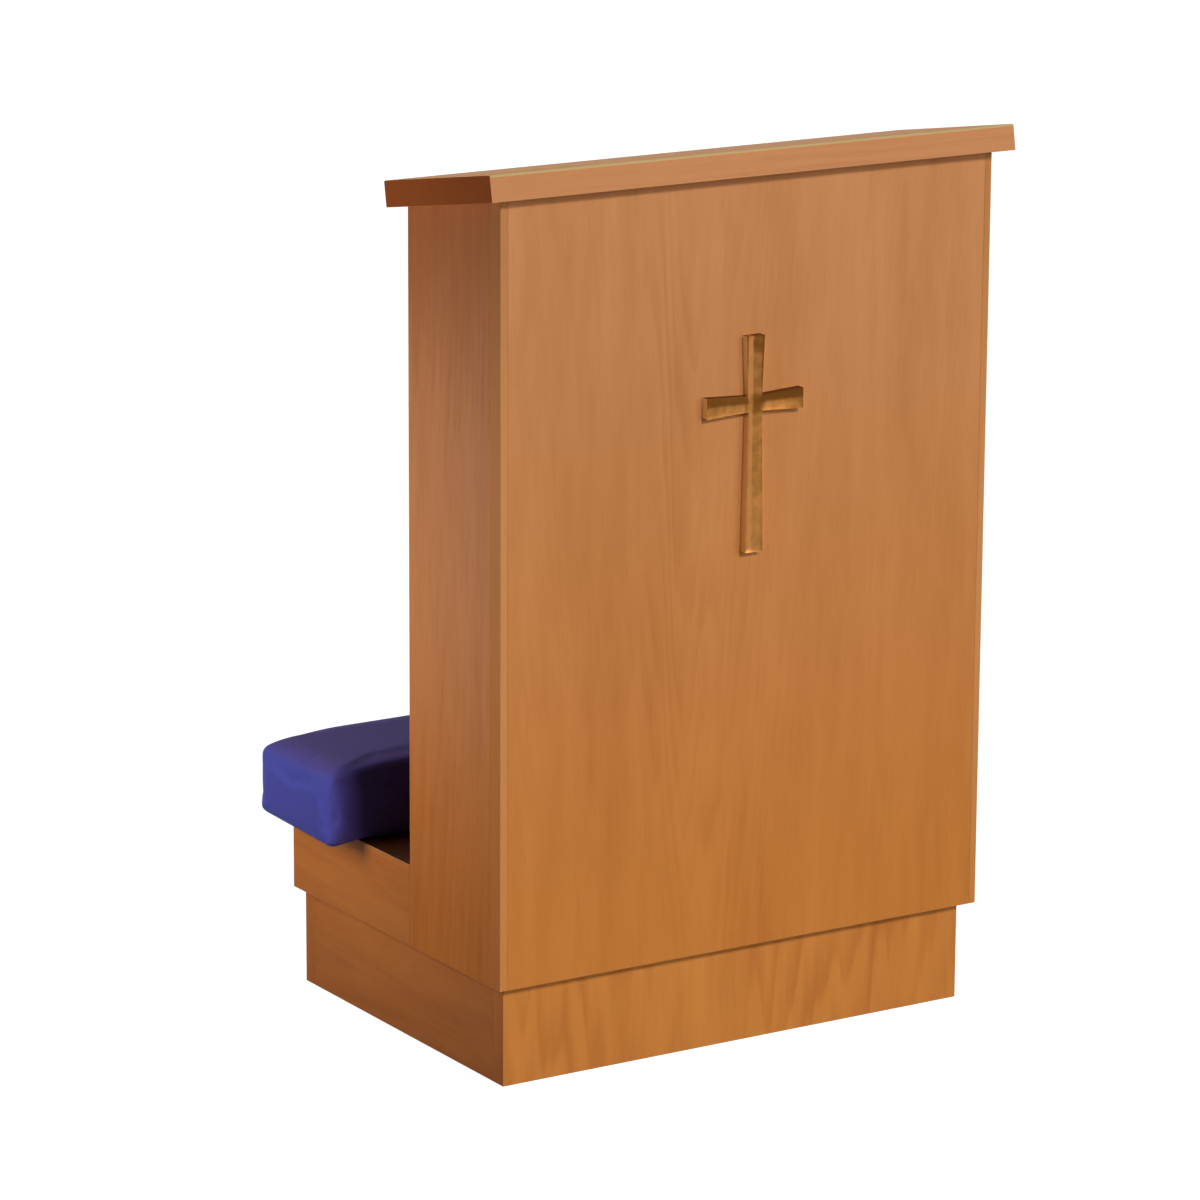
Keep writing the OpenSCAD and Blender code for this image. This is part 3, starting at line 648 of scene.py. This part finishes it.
# %% [markdown]
# The upright is a shallow case: a front panel with a paler strip of solid wood down each side edge,
# and a side board behind each strip. Its outer arrises are eased by about a millimetre, and where
# two boards meet the edges stay nearly sharp, which leaves the hairline that shows on the real one.

# %% The upright
half_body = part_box("front_strip_right")[1].x
upright_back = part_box("upright_side_left")[1].y
shelf_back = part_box("book_shelf")[1].y


def outer_front(edge):
    """The case's two upright front edges."""
    middle = middle_of(edge)
    return runs(edge, 2) and abs(middle.x) > half_body - hair and middle.y < case_front + hair


def outer_back(edge):
    """The upright edges at the open back of the case."""
    return runs(edge, 2) and middle_of(edge).y > upright_back - hair


board("front_panel", front_veneer)
for side in ("left", "right"):
    board("front_strip_" + side, edge_strip, "edge_strip", 0.0014, outer_front)
for side in ("left", "right"):
    board("upright_side_" + side, side_veneer, is_outer=outer_back)
board("book_shelf", shelf_veneer, outer=0.0012,
      is_outer=lambda e: runs(e, 0) and middle_of(e).y > shelf_back - hair)
print("upright: panel, two strips, two sides and a shelf")

# %% [markdown]
# The kneeler is a low box behind the upright, and the plinth is set back under both. Their boards
# are plain rectangles, and those that show at an outer edge have it lightly eased. The deck under
# the cushion is painted near black as painted shade, and so are the tops of the kneeler's sides.

# %% The kneeler and the plinth
kneeler_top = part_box("kneeler_side_left")[1].z


def kneeler_rim(edge):
    """The outer top edges of the kneeler's sides."""
    middle = middle_of(edge)
    return runs(edge, 1) and middle.z > kneeler_top - hair and abs(middle.x) > half_body - hair


def plinth_corner(edge):
    """The four upright edges at the corners of the plinth."""
    middle = middle_of(edge)
    low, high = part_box("plinth_front")[0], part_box("plinth_end")[1]
    return (runs(edge, 2) and abs(middle.x) > high.x - hair
            and (middle.y < low.y + hair or middle.y > high.y - hair))


for side in ("left", "right"):
    board("kneeler_side_" + side, kneeler_veneer, is_outer=kneeler_rim)
board("kneeler_end", front_veneer)
board("kneeler_deck", deck_painted_shade)
for name in ("plinth_front", "plinth_end"):
    board(name, plinth_veneer, is_outer=plinth_corner)
for side in ("left", "right"):
    board("plinth_side_" + side, kneeler_veneer)
print("kneeler and plinth: eight boards")

# %% [markdown]
# The desk board is one thick solid board that slopes down towards the kneeler. It is modelled lying
# flat, where its edges are easy to pick and round, and then turned to its slope and moved onto the
# upright. Its long top arrises get a thin pale line, which stands for wear and is also a painted
# highlight.

# %% The desk board
def desk_top():
    """The sloping board on top, in place of its measured solid."""
    low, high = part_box("desk_top")
    thick = 0.025
    s, c = sin(radians(desk_slope)), cos(radians(desk_slope))
    long = (high.y - low.y - thick * s) / c
    front = (low.y - case_front) / c
    bm = bmesh.new()
    block(bm, Vector((low.x, front, 0)), Vector((high.x, front + long, thick)))
    # The front top arris gets the full pale arris colour: wear and a painted highlight.
    ease(bm, 0.0022, lambda e: runs(e, 0) and middle_of(e).z > thick - hair, 3, arris_weight=1.0)
    ease(bm, 0.0020, lambda e: runs(e, 1) and middle_of(e).z > thick - hair, 3, arris_weight=0.1)
    ease(bm, 0.0012, lambda e: runs(e, 2), 2, arris_weight=0.1)
    ease(bm, 0.0008, lambda e: middle_of(e).z < hair and bounds_upright_face(e), 1, arris_weight=0.1)
    bmesh.ops.rotate(bm, cent=(0, 0, 0), matrix=Matrix.Rotation(radians(-desk_slope), 3, "X"),
                     verts=bm.verts)
    bmesh.ops.translate(bm, vec=desk_line, verts=bm.verts)
    flat_light(keep_piece("desk_top_board", bm, "board_veneer", desk_board, "desk_top"))
    print("desk board", round(long, 4), "m long, over the measured",
          [round(v, 4) for v in high - low])


desk_top()

# %% [markdown]
# The cross is cast flat, with arms that widen towards their ends and a front that is pitched like a
# low roof. It starts as the small block at the crossing. Each of its four sides is drawn out into
# an arm, and the arm's end is widened. Then the front is inset and its rim is pushed back, which
# gives the slopes, and the rim and the corners get a small bevel that catches the light.

# %% The cross
def cross():
    """The brass cross, in place of its measured solid."""
    low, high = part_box("cross")
    arm, end = 0.015, 0.020  # width of an arm at the crossing and at its end
    slope, fall = 0.0055, 0.0012  # width of each sloping side, and how far it drops
    middle = Vector(((low.x + high.x) / 2, (low.y + high.y) / 2, high.z - crossing_drop))
    reach = {(1, 0): high.x, (-1, 0): -low.x, (0, 1): high.z - middle.z,
             (0, -1): middle.z - low.z}
    bm = bmesh.new()
    core = Vector((arm / 2, (high.y - low.y) / 2, arm / 2))
    block(bm, middle - core, middle + core)
    for (side, up), length in reach.items():
        way = Vector((side, 0, up))
        bm.normal_update()
        face = next(f for f in bm.faces if f.normal.dot(way) > 0.99
                    and (f.calc_center_median() - middle).length < arm * 0.6)
        grown = bmesh.ops.extrude_discrete_faces(bm, faces=[face])
        tip = list(grown["faces"][0].verts)
        bmesh.ops.translate(bm, vec=way * (length - arm / 2), verts=tip)
        wide = Vector((1 if side else end / arm, 1, 1 if up else end / arm))
        centre = middle + way * length
        bmesh.ops.scale(bm, vec=wide, space=Matrix.Translation(-centre), verts=tip)
    bmesh.ops.recalc_face_normals(bm, faces=bm.faces)
    bm.normal_update()
    front = [f for f in bm.faces if f.normal.y < -0.99]
    rim = {v for f in front for v in f.verts}
    bmesh.ops.inset_region(bm, faces=front, thickness=slope, use_even_offset=True)
    bmesh.ops.translate(bm, vec=(0, fall, 0), verts=list(rim))
    bm.normal_update()
    ease(bm, 0.0008, lambda e: all(v in rim for v in e.verts)
         and any(abs(f.normal.y) < 0.2 for f in e.link_faces), 3)
    ease(bm, 0.0006, lambda e: runs(e, 1), 2)
    piece = keep_piece("brass_cross", bm, "cross_brass", cross_brass, "cross")
    flat_light(piece)
    return piece


brass_cross = cross()
print("cross with", len(brass_cross.data.polygons), "faces")

# %% [markdown]
# The cushion is a foam block on a board, in a tight cloth cover. Blown up a little by the cloth
# simulation, a rounded block that is slightly too low gets the crown and the full sides of a real
# cushion. The foot, which lies on the deck and is drawn in under the board, is pinned. How far a
# point may move is capped, so the cushion stays close to its measured size. Last, the top is let
# down a little towards both ends, where the cover pulls the foam's corners down, and the two
# corners by the upright sag, because they stand out past the kneeler's sides.

# %% The cushion
def pad_block():
    """The rounded block that the cushion is blown up from."""
    low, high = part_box("pad_cover")
    spread, sink = Vector((0.0014, 0.0005, 0)), 0.0025
    draw_in, drawn_height = 0.0020, 0.018
    top = high.z - sink
    bm = bmesh.new()
    block(bm, low - spread, high + spread - Vector((0, 0, sink)))
    ease(bm, 0.0085, lambda e: runs(e, 2), 6)
    ease(bm, 0.0130, lambda e: middle_of(e).z > top - hair and bounds_upright_face(e), 6)
    ease(bm, 0.0110, lambda e: middle_of(e).z < low.z + hair and bounds_upright_face(e), 4)
    for v in bm.verts:
        pull = draw_in * max(1 - (v.co.z - low.z) / drawn_height, 0)
        v.co.x -= pull if v.co.x > 0 else -pull
    return keep_piece("cushion", bm, "cushion_cloth", blue_cloth, "pad_cover", "pad_foam",
                      "pad_board", "pad_lining")


def with_modifiers(piece):
    """The piece as its modifiers leave it."""
    return piece.evaluated_get(bpy.context.evaluated_depsgraph_get())


def remesh(piece, size):
    """Cuts the skin into even squares, as wide as the size."""
    cut = piece.modifiers.new("even_skin", "REMESH")
    cut.mode = "VOXEL"
    cut.voxel_size = size
    mesh = bpy.data.meshes.new_from_object(with_modifiers(piece))
    piece.modifiers.clear()
    piece.data = mesh


def blow_up(piece, cap, steps=20, foot_height=0.004):
    """Fills the cover with the cloth simulation, no point further than the cap."""
    start = [v.co.copy() for v in piece.data.vertices]
    foot = min(v.z for v in start)
    held = piece.vertex_groups.new(name="foot")
    held.add([i for i, v in enumerate(start) if v.z < foot + foot_height], 1.0, "REPLACE")
    cloth = piece.modifiers.new("cover", "CLOTH")
    settings = cloth.settings
    settings.quality = 5
    settings.mass = 0.3
    settings.tension_stiffness = settings.compression_stiffness = 12
    settings.bending_stiffness = 0.6
    settings.use_pressure = True
    settings.uniform_pressure_force = 4.0
    settings.effector_weights.gravity = 0.0
    settings.vertex_group_mass = "foot"
    cloth.collision_settings.use_collision = False
    cloth.point_cache.frame_start, cloth.point_cache.frame_end = 1, steps
    for step in range(1, steps + 1):
        bpy.context.scene.frame_set(step)
    blown = [v.co.copy() for v in with_modifiers(piece).data.vertices]
    piece.modifiers.clear()
    bpy.context.scene.frame_set(1)
    furthest = 0
    for vertex, old, new in zip(piece.data.vertices, start, blown):
        move = new - old
        furthest = max(furthest, move.length)
        if move.length > cap:
            move *= cap / move.length
        vertex.co = old + move
    print("cushion blown up, furthest point", round(furthest, 4), "m")


def drop_ends(piece, run, drop):
    """Lets the cushion's top fall softly towards its two ends, with its foot where it is."""
    low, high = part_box("pad_cover")
    for vertex in piece.data.vertices:
        inner = min(high.x - abs(vertex.co.x), run)
        share = drop * (1 - max(inner, 0) / run) ** 2 / (high.z - low.z)
        vertex.co.z = low.z + (vertex.co.z - low.z) * (1 - share)


def sag_corners(piece, sag, clear=0.003):
    """Lets the two corners by the upright hang a little where nothing carries them."""
    low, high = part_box("pad_cover")
    carried = half_body + clear
    for vertex in piece.data.vertices:
        beyond = (abs(vertex.co.x) - carried) / (high.x - carried)
        near = (high.y - vertex.co.y) / (high.y - low.y)
        lower = (high.z - vertex.co.z) / (high.z - low.z)
        vertex.co.z -= sag * max(beyond, 0) * max(near, 0) * max(lower, 0)


cushion = pad_block()
remesh(cushion, size=0.004)
blow_up(cushion, cap=0.0025)
drop_ends(cushion, run=0.09, drop=0.011)
sag_corners(cushion, sag=0.005)
softer = cushion.modifiers.new("finer", "SUBSURF")
softer.levels = softer.render_levels = 1
for face in cushion.data.polygons:
    face.use_smooth = True
if not cushion.data.materials:
    cushion.data.materials.append(blue_cloth)
print("cushion with", len(cushion.data.vertices), "points")

# %% [markdown]
# The rest of the measured solids have the right shape already: battens, blocks, runners, dowels,
# studs and screws. They stay as they are and only get their material.

# %% Materials of the measured solids that stay
def longest(node):
    """The axis along which a solid is longest, as a letter."""
    low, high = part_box(node)
    size = high - low
    return "XYZ"[max(range(3), key=lambda i: size[i])]


def dress(node, material):
    """Gives a measured solid its material."""
    mesh = frame["nodes"][node].data
    mesh.materials.clear()
    mesh.materials.append(material)


by_slot = {"dowel_wood": dowel_wood, "cross_brass": cross_brass, "screw_steel": screw_steel,
           "cushion_cloth": blue_cloth, "cushion_foam": foam, "cushion_lining": lining,
           "edge_strip": edge_strip, "board_veneer": side_veneer}
for part in frame["record"]["subparts"]:
    node, slot = part["node"], part["material_slot"]
    dress(node, inside_wood[longest(node)] if slot == "plain_wood" else by_slot[slot])

# %% [markdown]
# The desk stands on a plain floor in a white room. The floor is a real grey surface in the light,
# so it keeps the desk's shadow and throws little light back. For the camera and in reflections a
# glow is added to it, which lifts it to white. The world is white to the same rays, and as a light
# it is almost black.

# %% Floor and background
def seen_ray(start):
    """1 for a ray from the camera, off a glossy surface or through a clear one, and else 0."""
    camera_ray, glossy, clear = [start.node("LightPath", output="Is " + kind + " Ray")
                                 for kind in ("Camera", "Glossy", "Transmission")]
    return start.math("MINIMUM", camera_ray + glossy + clear, 1.0)


def plain_floor():
    """A wide floor whose seen face is lifted to white by a glow."""
    bm = bmesh.new()
    bmesh.ops.create_grid(bm, x_segments=1, y_segments=1, size=60)
    mesh = bpy.data.meshes.new("floor")
    bm.to_mesh(mesh)
    bm.free()
    piece = bpy.data.objects.new("floor", mesh)
    bpy.context.scene.collection.objects.link(piece)
    finish, shader, s = new_finish("floor_white", Base_Color=(0.20, 0.20, 0.20, 1),
                                   Roughness=0.9, Specular_IOR_Level=0.1)
    glow = s.node("Emission", {"Color": (1, 1, 1, 1), "Strength": 0.94})
    no_glow = s.node("Emission", {"Color": (0, 0, 0, 1), "Strength": 0.0})
    lift = s.node("MixShader", {0: seen_ray(s), 1: no_glow, 2: glow})
    both = s.node("AddShader", {0: Signal(s.tree, shader.outputs[0]), 1: lift})
    out = finish.node_tree.nodes["Material Output"]
    finish.node_tree.links.new(both.out, out.inputs["Surface"])
    mesh.materials.append(finish)


def white_room(ambient):
    """A world that is white where it is seen, and a weak light where it isn't."""
    world = bpy.data.worlds.new("white_room")
    world.use_nodes = True
    tree = world.node_tree
    tree.nodes.clear()
    s = Signal(tree)
    light = s.node("Background", {"Color": (1, 1, 1, 1), "Strength": ambient})
    shown = s.node("Background", {"Color": (1, 1, 1, 1), "Strength": 1.0})
    mixed = s.node("MixShader", {0: seen_ray(s), 1: light, 2: shown})
    out = tree.nodes.new("ShaderNodeOutputWorld")
    tree.links.new(mixed.out, out.inputs["Surface"])
    bpy.context.scene.world = world


plain_floor()
white_room(ambient=0.02)
print("floor and background are ready")
